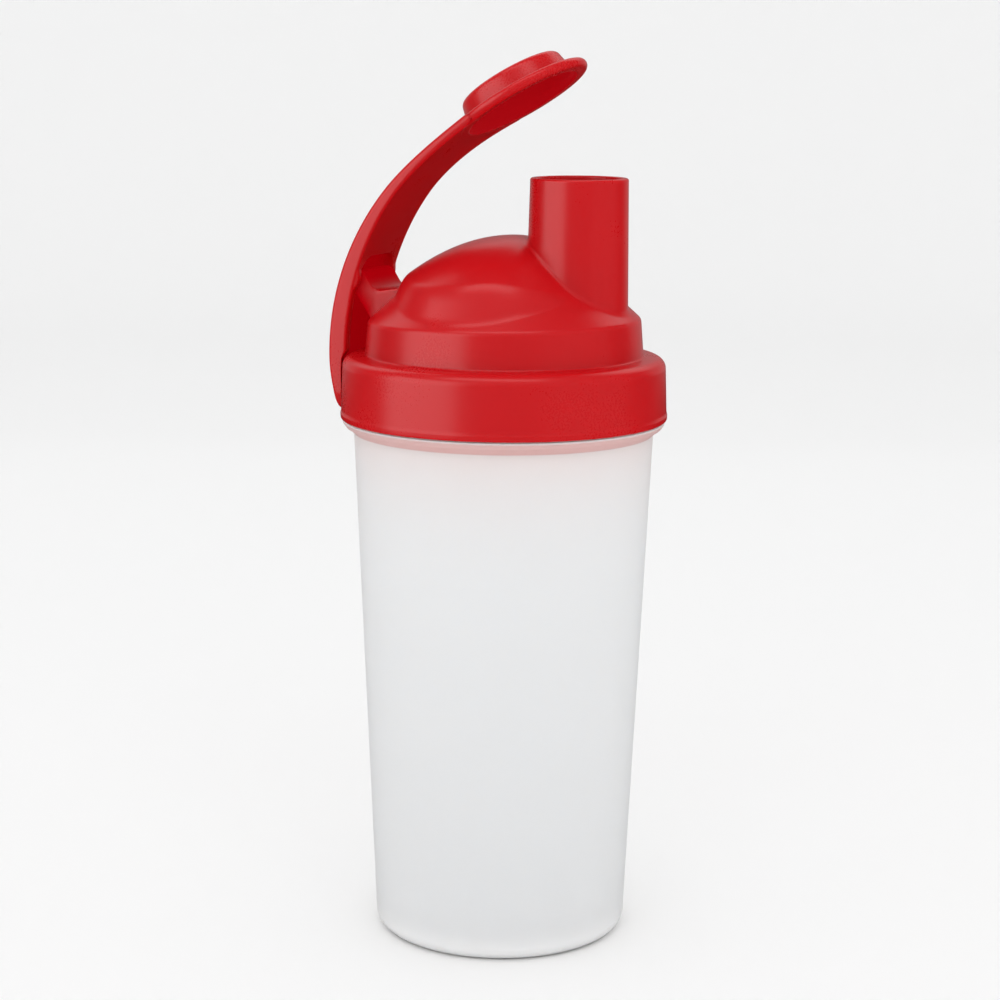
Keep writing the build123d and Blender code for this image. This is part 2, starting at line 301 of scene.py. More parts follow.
class Signal:
    """A shader socket that takes part in Python expressions: each operator adds one Math node."""

    def __init__(self, graph: "Graph", socket: bpy.types.NodeSocket) -> None:
        """Wrap a socket of the given graph."""
        self.graph = graph
        self.socket = socket

    def _math(self, operation: str, *values: Any) -> "Signal":
        """Return a Math node's result on the values."""
        return self.graph.add("ShaderNodeMath", {"operation": operation}, dict(enumerate(values)))

    def __add__(self, other: Any) -> "Signal":
        """Return self plus other."""
        return self._math("ADD", self, other)

    __radd__ = __add__

    def __sub__(self, other: Any) -> "Signal":
        """Return self minus other."""
        return self._math("SUBTRACT", self, other)

    def __rsub__(self, other: Any) -> "Signal":
        """Return other minus self."""
        return self._math("SUBTRACT", other, self)

    def __mul__(self, other: Any) -> "Signal":
        """Return self times other."""
        return self._math("MULTIPLY", self, other)

    __rmul__ = __mul__

    def __truediv__(self, other: Any) -> "Signal":
        """Return self divided by other."""
        return self._math("DIVIDE", self, other)

    def __pow__(self, other: Any) -> "Signal":
        """Return self raised to the power of other."""
        return self._math("POWER", self, other)

    def clamped(self) -> "Signal":
        """Return the value held between 0 and 1."""
        return self._math("MINIMUM", self._math("MAXIMUM", self, 0.0), 1.0)

    def step(self, low: float, high: float) -> "Signal":
        """Return 0 below low and 1 above high, with a straight ramp between."""
        return ((self - low) / (high - low)).clamped()


class Graph:
    """A material's node tree, with one method that adds any node."""

    def __init__(self, name: str) -> None:
        """Start a material of the given name with only its output node."""
        self.material = bpy.data.materials.new(name)
        self.material.use_nodes = True
        self.tree = self.material.node_tree
        self.tree.nodes.clear()
        self.output = self.tree.nodes.new("ShaderNodeOutputMaterial")

    def add(self, kind: str, settings: dict[str, Any], inputs: dict[Any, Any], out: int | str = 0) -> Signal:
        """Add a node.

        Args:
            kind: The node's type.
            settings: Properties set before the sockets, such as a Math node's operation or ramp stops.
            inputs: Values or signals by socket name or number.
            out: Which output to return.

        Returns:
            The chosen output as a signal.
        """
        node = self.tree.nodes.new(kind)
        for key, value in settings.items():
            if key == "stops":
                self._set_stops(node.color_ramp, value)
            else:
                setattr(node, key, value)
        for key, value in inputs.items():
            if isinstance(value, Signal):
                self.tree.links.new(value.socket, node.inputs[key])
            else:
                node.inputs[key].default_value = value
        return Signal(self, node.outputs[out])

    @staticmethod
    def _set_stops(ramp: bpy.types.ColorRamp, stops: Sequence[tuple[float, tuple[float, ...]]]) -> None:
        """Give a colour ramp the listed stops."""
        while len(ramp.elements) < len(stops):
            ramp.elements.new(1.0)
        for element, (at, colour) in zip(ramp.elements, stops):
            element.position = at
            element.color = (*colour, 1.0)

    def place(self) -> Signal:
        """Return Object coordinates."""
        return self.add("ShaderNodeTexCoord", {}, {}, out="Object")

    def stretched(self, scale: tuple[float, float, float]) -> Signal:
        """Return Object coordinates scaled along each axis."""
        return self.add("ShaderNodeMapping", {}, {"Vector": self.place(), "Scale": scale})

    def noise(self, size: float, detail: float = 4.0, where: Signal | None = None) -> Signal:
        """Return noise from 0 to 1 whose features are about size metres across."""
        inputs = {"Vector": where or self.place(), "Scale": 1.0 / size, "Detail": detail, "Roughness": 0.55}
        return self.add("ShaderNodeTexNoise", {}, inputs)

    def blend(self, factor: Signal | float, first: Any, second: Any) -> Signal:
        """Return two colours mixed by a factor."""
        rgba = {"data_type": "RGBA"}
        colours = {0: factor, 6: self._rgba(first), 7: self._rgba(second)}
        return self.add("ShaderNodeMix", rgba, colours, out=2)

    @staticmethod
    def _rgba(colour: Any) -> Any:
        """Return a plain colour with its alpha, and a signal as it is."""
        return colour if isinstance(colour, Signal) else (*colour, 1.0)

    def bump(self, height: Signal, strength: float, distance: float) -> Signal:
        """Return a normal raised by a height."""
        return self.add("ShaderNodeBump", {}, {"Strength": strength, "Distance": distance, "Height": height})

    def finish(self, shader: Signal) -> bpy.types.Material:
        """Join a shader to the output and return the material."""
        self.tree.links.new(shader.socket, self.output.inputs["Surface"])
        return self.material


# ---------------------------------------------------------------- finishes


@dataclass(frozen=True)
class SatinPlastic:
    """Coloured polypropylene from a polished mould: satin gloss, faint flow clouds, fine grain and hairlines.

    Inside hollows the skin is matt and carries painted shade: a darker colour, and a faint painted glow, an
    emission that stands in for light soaking through the thin wall.

    Attributes:
        name: Name of the material.
        colour: Base colour.
        deep: Colour of the denser flow clouds.
        hollow: Painted shade inside hollows, where the mould was left matt: their darker colour, which also tints
            their painted glow.
        roughness: Middle roughness.
        grain: Height of the fine grain, in metres.
    """

    name: str
    colour: tuple[float, float, float]
    deep: tuple[float, float, float]
    hollow: tuple[float, float, float]
    roughness: float = 0.28
    grain: float = 0.00002

    def paint(self) -> bpy.types.Material:
        """Return the finish as a material."""
        g = Graph(self.name)
        # How deep each point lies in a hollow: it mixes in the painted shade and painted glow, and roughens the
        # skin.
        sunk = g.add("ShaderNodeAttribute", {"attribute_name": "sunk"}, {}, out="Fac")
        clouds = g.noise(0.035, 3.0)
        grain = g.noise(0.0006, 2.0)
        skin_wave = g.noise(0.006, 3.0)
        hairs = g.noise(0.0025, 2.0, g.stretched((1.0, 9.0, 0.35))).step(0.70, 0.78)
        rough = self.roughness + 0.05 * (clouds - 0.5) + 0.02 * (grain - 0.5) + 0.05 * hairs + 0.5 * sunk
        height = 0.04 * grain + 0.9 * skin_wave - 0.05 * hairs
        open_face = g.blend(clouds.step(0.35, 0.7), self.colour, self.deep)
        shader = g.add(
            "ShaderNodeBsdfPrincipled",
            {},
            {
                "Base Color": g.blend(sunk, open_face, self.hollow),
                "Roughness": rough,
                "IOR": 1.49,
                "Subsurface Weight": 0.25,
                "Subsurface Radius": (0.002, 0.0002, 0.0003),
                "Subsurface Scale": 1.0,
                "Normal": g.bump(height, 0.35, self.grain),
            },
        )
        # Painted shade and painted glow for hollows: a darker diffuse and a faint emission, both in the hollow
        # colour.
        glow = {"Color": (*self.hollow, 1.0), "Strength": 0.45}
        inside = g.add(
            "ShaderNodeAddShader",
            {},
            {
                0: g.add("ShaderNodeBsdfDiffuse", {}, {"Color": (*(0.55 * c for c in self.hollow), 1.0)}),
                1: g.add("ShaderNodeEmission", {}, glow),
            },
        )
        return g.finish(g.add("ShaderNodeMixShader", {}, {0: sunk, 1: shader, 2: inside}))


@dataclass(frozen=True)
class FrostedPlastic:
    """Natural polypropylene with a frosted skin: it passes light but blurs everything behind it.

    Attributes:
        name: Name of the material.
        colour: Base colour.
        tint: Painted red light: colour of the wall just under the lid, where red light soaks down it.
        ring: Colour of the drip ring, which the lid shades: painted shade, with painted red light.
        shoulder: Height where the body ends and the drip ring starts.
        reach: How far down the tint fades out.
    """

    name: str
    colour: tuple[float, float, float]
    tint: tuple[float, float, float]
    ring: tuple[float, float, float]
    shoulder: float
    reach: float = 0.048

    def paint(self) -> bpy.types.Material:
        """Return the finish as a material."""
        g = Graph(self.name)
        height = g.add("ShaderNodeSeparateXYZ", {}, {"Vector": g.place()}, out="Z")
        clouds = g.noise(0.03, 3.0)
        grain = g.noise(0.00035, 2.0)
        drift = g.noise(0.012, 3.0)
        uneven = height + 0.008 * (clouds - 0.5)
        # Painted red light: towards the lid the wall fades to the tint colour. The drip ring band takes the
        # painted shade colour.
        red_light_share = uneven.step(self.shoulder - self.reach, self.shoulder) ** 2.4
        ring = height.step(self.shoulder - 0.0002, self.shoulder + 0.0002)
        crest = height.step(self.shoulder + 0.0032, self.shoulder + 0.0037)
        foot = 0.5 * (1 - height.step(0.0, 0.02)) + 0.12 * clouds
        warm = tuple(c * k for c, k in zip(self.colour, (0.99, 0.965, 0.945)))
        wall = g.blend(foot.clamped(), self.colour, warm)
        wall = g.blend(red_light_share, wall, self.tint)
        shader = g.add(
            "ShaderNodeBsdfPrincipled",
            {},
            {
                "Base Color": g.blend(ring, wall, g.blend(crest, self.ring, self.colour)),
                "Roughness": 0.46 + 0.08 * (drift - 0.5) + 0.10 * (grain - 0.5),
                "IOR": 1.49,
                "Subsurface Weight": 0.6,
                "Subsurface Radius": (0.008, 0.0075, 0.007),
                "Subsurface Scale": 1.0,
                "Specular IOR Level": 0.15,
                "Normal": g.bump(0.7 * grain + 0.6 * drift, 0.4, 0.00003),
            },
        )
        return g.finish(shader)


@dataclass(frozen=True)
class Silicone:
    """Matt silicone rubber with a powdery skin and a little mottling.

    Attributes:
        name: Name of the material.
        colour: Base colour.
    """

    name: str
    colour: tuple[float, float, float]

    def paint(self) -> bpy.types.Material:
        """Return the finish as a material."""
        g = Graph(self.name)
        mottle = g.noise(0.008, 3.0)
        dust = g.noise(0.0004, 2.0)
        pale = tuple(1.25 * c + 0.002 for c in self.colour)
        shader = g.add(
            "ShaderNodeBsdfPrincipled",
            {},
            {
                "Base Color": g.blend(mottle.step(0.4, 0.8) * 0.35, self.colour, pale),
                "Roughness": 0.62 + 0.12 * (dust - 0.5),
                "IOR": 1.41,
                "Normal": g.bump(dust, 0.3, 0.00002),
            },
        )
        return g.finish(shader)


@dataclass(frozen=True)
class StudioSweep:
    """The pale painted sweep that the bottle stands on."""

    name: str = "studio_sweep"
    colour: tuple[float, float, float] = (0.9, 0.9, 0.9)

    def paint(self) -> bpy.types.Material:
        """Return the finish as a material."""
        g = Graph(self.name)
        inputs = {"Base Color": (*self.colour, 1.0), "Roughness": 0.9}
        return g.finish(g.add("ShaderNodeBsdfPrincipled", {}, inputs))


def dress(piece: bpy.types.Object, material: bpy.types.Material) -> None:
    """Give a piece one material."""
    piece.data.materials.clear()
    piece.data.materials.append(material)


# ---------------------------------------------------------------- cup


@dataclass(frozen=True)
class Thread:
    """A screw thread's ridge, whose middle follows the helix z = start + pitch times turns.

    Attributes:
        start: Height where the ridge starts.
        depth: How far it stands out, negative inwards.
        pitch: Rise in one turn.
        turns: Length of the ridge in turns.
        half: Half the ridge's width at its foot.
        flank: Width of each of its sloping sides.
        run_out: Share of a turn over which each end fades.
    """

    start: float
    depth: float
    pitch: float = 0.006
    turns: float = 1.2
    half: float = 0.0013
    flank: float = 0.0007
    run_out: float = 0.03

    def raised(self, grid: Grid, rows: Grid, radius: float) -> Grid:
        """Return a turned grid with the ridge raised on some of its rows.

        Args:
            grid: Points as rows, columns and x, y, z.
            rows: Mask of the rows that carry the ridge.
            radius: Radius of those rows.

        Returns:
            The changed grid.
        """
        columns = grid.shape[1]
        around = np.arange(columns) / columns
        z = grid[rows, :, 2]
        ridge = np.zeros_like(z)
        for lap in range(math.ceil(self.turns)):
            along = around + lap
            away = np.abs(z - (self.start + self.pitch * along))
            tall = np.clip((self.half - away) / self.flank, 0, 1)
            fade = ease(along, 0.0, self.run_out) * (1 - ease(along, self.turns - self.run_out, self.turns))
            ridge = np.maximum(ridge, tall * fade)
        scale = 1 + self.depth * ridge / radius
        grid[rows, :, :2] *= scale[..., None]
        return grid


@dataclass
class MixingCup:
    """The tapered frosted cup with its recessed foot, drip ring and threaded neck.

    Attributes:
        axes: Places fixed by the frame.
        foot_r: Radius at the surface it stands on.
        body_r: Radius under the drip ring.
        body_z: Height where the body meets the drip ring.
        wall: Wall thickness.
        heel: Radius of the rounded heel.
        foot_ring_r: Radius of the recess under the foot.
        foot_recess: Depth of that recess.
        floor_z: Height of the inner floor.
        ring_low_r: Radius of the drip ring at its lower edge.
        ring_r: Radius of the drip ring at its upper edge.
        neck_r: Radius of the threaded neck.
        thread_z: Height where the thread starts.
        thread_depth: How far the thread stands out.
        columns: Points around each ring.
    """

    axes: Axes
    foot_r: float = 0.0381
    body_r: float = 0.0449
    body_z: float = 0.1515
    wall: float = 0.0016
    heel: float = 0.0045
    foot_ring_r: float = 0.0270
    foot_recess: float = 0.0026
    floor_z: float = 0.0046
    ring_low_r: float = 0.0471
    ring_r: float = 0.0482
    neck_r: float = 0.0434
    thread_z: float = 0.1626
    thread_depth: float = 0.0015
    columns: int = 288

    def outline(self) -> Grid:
        """Return the cup's section as (radius, height): under the foot, up the outside, down the inside."""
        inner_r = self.neck_r - self.wall
        mm = 0.001
        floor_r = self.foot_r + (self.body_r - self.foot_r) * self.floor_z / self.body_z - self.wall
        low, step, top = (self.axes.collar_low - d * mm for d in (4.2, 2.3, 0.35))
        return rounded_path(
            [
                (0.0, self.foot_recess, 0),
                (self.foot_ring_r, self.foot_recess, 0.8 * mm),
                (self.foot_ring_r + 2.0 * mm, 0.0, 0.8 * mm),
                (self.foot_r, 0.0, self.heel),
                (self.body_r, low, 0.4 * mm),
                (self.ring_low_r, step, 0.3 * mm),
                (self.ring_low_r + 0.3 * mm, step, 0.15 * mm),
                (self.ring_r, top - 0.8 * mm, 0.5 * mm),
                (self.ring_r, top, 0.3 * mm),
                (self.neck_r, top, 0.5 * mm),
                (self.neck_r, self.axes.rim, 0.45 * mm),
                (inner_r, self.axes.rim, 0.45 * mm),
                (inner_r, low, 4.0 * mm),
                (floor_r, self.floor_z, 3.5 * mm),
                (0.0, self.floor_z, 0),
            ],
            gap=0.0012,
        )

    def build(self, material: bpy.types.Material) -> bpy.types.Object:
        """Build the cup: its turned section, with the thread raised on the neck."""
        outline = self.outline()
        grid = Place().turned(outline, self.columns)
        on_neck = np.isclose(outline[:, 0], self.neck_r, atol=2e-5)
        grid = Thread(self.thread_z, self.thread_depth).raised(grid, on_neck, self.neck_r)
        piece = skin("cup_shell", grid, ring=False, poles=(True, True))
        dress(piece, material)
        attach(piece, "cup")
        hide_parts("cup")
        return piece


# ---------------------------------------------------------------- lid


@dataclass
class SpoutedLid:
    """The screw-on lid: collar, tier, dome and spout in one skin, and the hinge lug behind the dome.

    Attributes:
        axes: Places fixed by the frame.
        spout_r: Outer radius of the spout at its lip.
        spout_base_r: Outer radius of the spout at its foot.
        bore_r: Radius of the spout's bore.
        collar_r: Greatest radius of the collar, at its foot.
        collar_top_r: Radius of the collar's upper end.
        collar_inside_r: Radius of the collar's inside.
        tier_base_r: Radius of the tier's foot.
        tier_inside_r: Radius of the tier's inside.
        edge_r: Radius where the tier's top edge turns down.
        corner_r: Radius of that edge before it is rounded.
        corner_z: Height of that edge before it is rounded.
        slope: Rise of the tier's cone for each step inwards.
        base_z: Height where the bulb's wall starts.
        top_z: Height of the bulb's roof.
        cone_top: Height where the cone levels out, under the bulb.
        top_x: Where the roof is highest, along X.
        back_fall: How fast the roof falls towards the hinge.
        side_fall: How fast it falls sideways.
        spout_fall: How fast it falls towards the spout.
        bulb_x: Middle of the bulb's ellipse, along X.
        bulb_half: Half the ellipse's length along X.
        bulb_side: Half its length along Y.
        bulb_steep: Fall of the bulb's wall from its middle to its foot.
        shoulder_r: How widely the roof is rounded into the wall.
        wall: Wall thickness.
        root: Radius of the fillet round the spout's foot.
        thread_z: Height where the thread starts.
        thread_depth: How far the thread stands inwards.
        lug_half: Half the hinge lug's length along Y.
        trunnion_r: Radius of the trunnions.
        trunnion_half: Half the length over both trunnions.
        columns: Points around each ring.
    """

    axes: Axes
    spout_r: float = 0.0144
    spout_base_r: float = 0.0148
    bore_r: float = 0.0126
    collar_r: float = 0.0490
    collar_top_r: float = 0.0482
    collar_inside_r: float = 0.0454
    tier_base_r: float = 0.0416
    tier_inside_r: float = 0.0390
    edge_r: float = 0.0389
    corner_r: float = 0.0407
    corner_z: float = 0.1876
    slope: float = 0.905
    base_z: float = 0.1870
    top_z: float = 0.2127
    cone_top: float = 0.2010
    top_x: float = 0.0030
    back_fall: float = 11.9
    side_fall: float = 11.4
    spout_fall: float = 24.0
    bulb_x: float = 0.0000
    bulb_half: float = 0.0349
    bulb_side: float = 0.0397
    bulb_steep: float = 0.0840
    shoulder_r: float = 0.0022
    wall: float = 0.0019
    root: float = 0.0012
    thread_z: float = 0.1606
    thread_depth: float = -0.0015
    lug_half: float = 0.0104
    trunnion_r: float = 0.0014
    trunnion_half: float = 0.0124
    columns: int = 336

    def lean(self, angle: Grid) -> Grid:
        """Return how much higher the tier stands towards the spout: a cosine of the angle around the lid."""
        return 0.0007 * np.cos(angle)

    def bulb(self, x: Grid, y: Grid) -> Grid:
        """Return the height of the dome's bulb: a gently falling roof, a shoulder and a steep wall.

        With d the distance from the roof's top along X, the roof falls by k d^2, where k is greater towards
        the spout, and by a square of y. The wall's height falls with u, the distance from the bulb's middle
        in the ellipse x/a, y/b: base + steep (1 - u).

        Args:
            x: Places along X.
            y: Places along Y.

        Returns:
            Heights of the bulb.
        """
        away = x - self.top_x
        fall = np.where(away < 0, self.back_fall, self.spout_fall)
        roof = self.top_z - fall * away**2 - self.side_fall * y**2
        u = np.hypot((x - self.bulb_x) / self.bulb_half, y / self.bulb_side)
        wall = self.base_z + self.bulb_steep * (1 - u)
        return np.maximum(soft_min(roof, wall, self.shoulder_r), self.base_z - 0.004)

    def height(self, x: Grid, y: Grid) -> Grid:
        """Return the lid's upper surface: the tier's cone, levelled at the top, and the bulb on it."""
        cone = self.corner_z + (self.corner_r - np.hypot(x, y)) * self.slope + self.lean(np.arctan2(y, x))
        return soft_max(soft_min(cone, self.cone_top, 0.0015), self.bulb(x, y), 0.0010)

    def disc(self, share: Grid, inner: float, outer: float) -> tuple[Grid, Grid]:
        """Return circles whose centre slides from the spout's axis to the bottle's as their radius grows.

        Args:
            share: How far along each row is, from 0 at the spout to 1 at the tier.
            inner: Radius of the circle round the spout.
            outer: Radius of the circle round the bottle.

        Returns:
            The x and y of the rows' points.
        """
        angle = np.arange(self.columns) * TURN / self.columns
        radius = inner + (outer - inner) * share[:, None]
        centre = self.axes.spout_x * (1 - share[:, None])
        return centre + radius * np.cos(angle), radius * np.sin(angle)

    def top(self) -> Grid:
        """Return the upper skin from the spout's root fillet to the tier's edge.

        The fillet is a quarter circle in the distance from the spout's wall.
        """
        share = np.linspace(0, 1, 130) ** 1.5
        x, y = self.disc(share, self.spout_base_r, self.edge_r)
        away = np.clip((np.hypot(x - self.axes.spout_x, y) - self.spout_base_r) / self.root, 0, 1)
        rise = self.root * (1 - np.sqrt(1 - (1 - away) ** 2))
        return np.stack([x, y, self.height(x, y) + rise], -1)

    def tube(self, radii: tuple[float, float], low: Grid, high: float, rows: int) -> Grid:
        """Return the wall round the spout's axis from a wavy lower line to a level upper one.

        Args:
            radii: Radius at the lower and at the upper line.
            low: Heights of the lower line, one for each column.
            high: Height of the upper line.
            rows: Rows of points.

        Returns:
            Points as an array of rows, columns and x, y, z.
        """
        angle = np.arange(self.columns) * TURN / self.columns
        share = np.linspace(0, 1, rows)[:, None]
        radius = radii[0] + (radii[1] - radii[0]) * share
        x = self.axes.spout_x + radius * np.cos(angle)
        return np.stack([x, radius * np.sin(angle), low + (high - low) * share], -1)

    def lip(self) -> Grid:
        """Return the spout's rounded lip, from its outer wall over the top to its bore."""
        mm = 0.001
        outline = rounded_path(
            [
                (self.spout_r, self.axes.spout_top - 2.0 * mm, 0),
                (self.spout_r, self.axes.spout_top, 0.75 * mm),
                (self.bore_r, self.axes.spout_top, 0.6 * mm),
                (self.bore_r, self.axes.spout_top - 2.0 * mm, 0),
            ],
            gap=0.001,
        )
        return Place(x=self.axes.spout_x).turned(outline, self.columns)

    def skirt(self) -> Grid:
        """Return the turned outside from the tier's edge down the collar, round its foot and up inside."""
        mm = 0.001
        low = self.axes.collar_low
        drop = (self.edge_r - self.corner_r) * self.slope
        outline = rounded_path(
            [
                (self.edge_r, self.corner_z - drop, 0),
                (self.corner_r, self.corner_z, 2.3 * mm),
                (self.tier_base_r, low + 19.1 * mm, 0.8 * mm),
                (self.collar_top_r, low + 18.4 * mm, 3.3 * mm),
                (self.collar_r - 0.25 * mm, low + 2.4 * mm, 3.0 * mm),
                (self.collar_r, low + 1.6 * mm, 0.6 * mm),
                (self.collar_r - 0.1 * mm, low, 0.6 * mm),
                (self.collar_inside_r, low, 0.5 * mm),
                (self.collar_inside_r, low + 16.6 * mm, 0.6 * mm),
                (self.tier_inside_r, low + 16.6 * mm, 0.4 * mm),
                (self.tier_inside_r, self.corner_z - self.wall, 2.0 * mm),
                (self.edge_r - 2.6 * mm, self.corner_z - self.wall + 1.2 * mm, 0),
            ],
            gap=0.0012,
            steps=9,
        )
        grid = Place().turned(outline, self.columns)
        fade = ease(grid[..., 2], low + 19.5 * mm, self.corner_z) * (grid[..., 2] > low + 19.0 * mm)
        grid[..., 2] += self.lean(np.arctan2(grid[..., 1], grid[..., 0])) * fade
        inside = np.isclose(outline[:, 0], self.collar_inside_r, atol=2e-5)
        return Thread(self.thread_z, self.thread_depth).raised(grid, inside, self.collar_inside_r)

    def inside(self, edge: Grid) -> Grid:
        """Return the dome's inner skin from the tier's inside to the bore, a wall below the outer one."""
        share = np.linspace(1, 0, 50)[1:] ** 1.5
        outer = float(np.hypot(edge[0, 0], edge[0, 1]))
        x, y = self.disc(share, self.bore_r, outer)
        z = self.height(x * 1.05, y * 1.05) - 1.35 * self.wall
        rise = ease(share, 0.8, 1.0)[:, None]
        return np.stack([x, y, z * (1 - rise) + edge[:, 2] * rise], -1)

    def build(self, material: bpy.types.Material) -> bpy.types.Object:
        """Build the lid's one skin: spout wall, upper skin, skirt, inner skin and bore, closed in a ring."""
        top, lip, skirt = self.top(), self.lip(), self.skirt()
        inner = self.inside(skirt[-1])
        wall = self.tube((self.spout_base_r, self.spout_r), top[0, :, 2], float(lip[0, 0, 2]), 30)[::-1]
        bore = self.tube((self.bore_r, self.bore_r), inner[-1, :, 2], float(lip[-1, 0, 2]), 24)
        grid = np.concatenate([wall[:-1], top, skirt[1:], inner, bore[1:-1], lip[::-1][:-1]])
        piece = skin("lid_shell", grid, ring=True)
        dress(piece, material)
        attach(piece, "lid")
        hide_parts("lid")
        return piece

    def build_lug(self, material: bpy.types.Material) -> bpy.types.Object:
        """Build the hinge lug: a rounded bracket that rises to a knuckle round the hinge line."""
        mm = 0.001
        hx, hz = self.axes.hinge
        outline = rounded_path(
            [
                (-29.0 * mm, 191.0 * mm, 0),
                (-29.0 * mm, 196.4 * mm, 0.3 * mm),
                (-38.0 * mm, 195.2 * mm, 4.0 * mm),
                (hx + 2.2 * mm, hz + 2.2 * mm, 2.1 * mm),
                (hx - 2.2 * mm, hz + 2.2 * mm, 2.15 * mm),
                (hx - 2.2 * mm, hz - 2.2 * mm, 2.15 * mm),
                (-41.4 * mm, 190.0 * mm, 3.0 * mm),
                (-39.2 * mm, 186.5 * mm, 1.0 * mm),
                (-34.0 * mm, 188.0 * mm, 0.3 * mm),
                (-29.0 * mm, 191.0 * mm, 0),
            ],
            gap=0.0012,
        )[:-1]
        piece = slab("hinge_lug", outline, self.lug_half, 0.7 * mm)
        points = np.empty(len(piece.data.vertices) * 3, np.float32)
        piece.data.vertices.foreach_get("co", points)
        # Painted shade: the lug's end that reaches into the arm's recess takes the darker hollow colour and a
        # faint glow.
        shade_sunk(piece, ease(-points[::3], 0.0365, 0.0405))
        dress(piece, material)
        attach(piece, "lid")
        return piece

    def build_trunnions(self, material: bpy.types.Material) -> bpy.types.Object:
        """Build the two trunnions as one turned bar with chamfered ends along the hinge line."""
        radius, end, chamfer = self.trunnion_r, self.trunnion_half, 0.0003
        corners = [(0.0, -end, 0), (radius, -end, chamfer), (radius, end, chamfer), (0.0, end, 0)]
        outline = rounded_path(corners, gap=0.002)
        angle = np.arange(40) * TURN / 40
        grid = np.stack(
            [
                self.axes.hinge[0] + outline[:, :1] * np.cos(angle),
                np.broadcast_to(outline[:, 1:2], (len(outline), 40)),
                self.axes.hinge[1] + outline[:, :1] * np.sin(angle),
            ],
            -1,
        )
        piece = skin("hinge_trunnions", grid, ring=False, poles=(True, True))
        dress(piece, material)
        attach(piece, "lid")
        return piece


def slab(name: str, outline: Grid, half: float, edge: float) -> bpy.types.Object:
    """Make a block with rounded edges by carrying an outline in X and Z along Y.

    Near each end the outline shrinks towards its middle along a quarter circle.

    Args:
        name: Name of the object.
        outline: Closed outline as (x, z) rows.
        half: Half the block's length along Y.
        edge: Radius of its edges.

    Returns:
        The object.
    """
    turn = np.linspace(0, math.pi / 2, 6)
    y = np.concatenate([-half + edge - edge * np.cos(turn), half - edge + edge * np.sin(turn)])
    inset = np.concatenate([edge - edge * np.sin(turn), edge - edge * np.cos(turn)])
    middle = (outline.min(0) + outline.max(0)) / 2
    away = outline - middle
    reach = np.linalg.norm(away, axis=1, keepdims=True)
    rings = middle + away[None] * (1 - inset[:, None, None] / reach[None])
    pole = np.broadcast_to(middle, rings[:1].shape)
    rings = np.concatenate([pole, rings, pole])
    y = np.concatenate([[-half], y, [half]])
    grid = np.stack([rings[..., 0], np.broadcast_to(y[:, None], rings.shape[:2]), rings[..., 1]], -1)
    return skin(name, grid, ring=False, poles=(True, True))


# ---------------------------------------------------------------- flip cap


